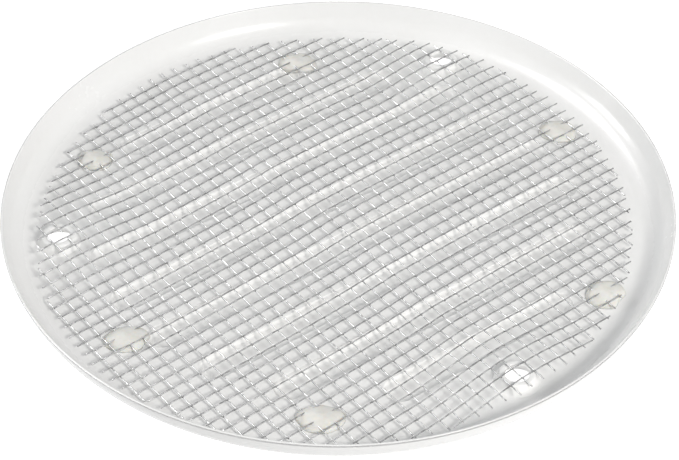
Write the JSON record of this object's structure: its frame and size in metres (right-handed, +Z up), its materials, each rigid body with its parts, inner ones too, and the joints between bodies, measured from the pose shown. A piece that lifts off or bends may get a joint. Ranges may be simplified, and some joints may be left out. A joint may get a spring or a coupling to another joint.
{
  "type": "drying tray",
  "caption": "Shallow round white plastic drying tray with a channelled floor and a wire screen glued inside.",
  "frame": {"origin": "centre of the circle that the tray stands on, on the underside of the channels", "axes": "+Z up along the tray's axis, +X to the right and +Y away from the viewer who sees the channels run up to the right"},
  "size_m": [0.29, 0.29, 0.0175],
  "materials": {
    "tray_plastic": "white moulded plastic, satin floor and glossier rim",
    "galvanised_wire": "dull galvanised steel wire",
    "set_glue": "cloudy cream hot-melt glue"
  },
  "bodies": {
    "root": {"tray": "tray_plastic", "warp_wires": "galvanised_wire", "warp_wires_over_bosses": "galvanised_wire", "weft_wires": "galvanised_wire", "weft_wires_over_bosses": "galvanised_wire", "glue_dab_1": "set_glue", "glue_dab_2": "set_glue", "glue_dab_3": "set_glue", "glue_dab_4": "set_glue", "glue_dab_5": "set_glue", "glue_dab_6": "set_glue"}
  },
  "joints": []
}
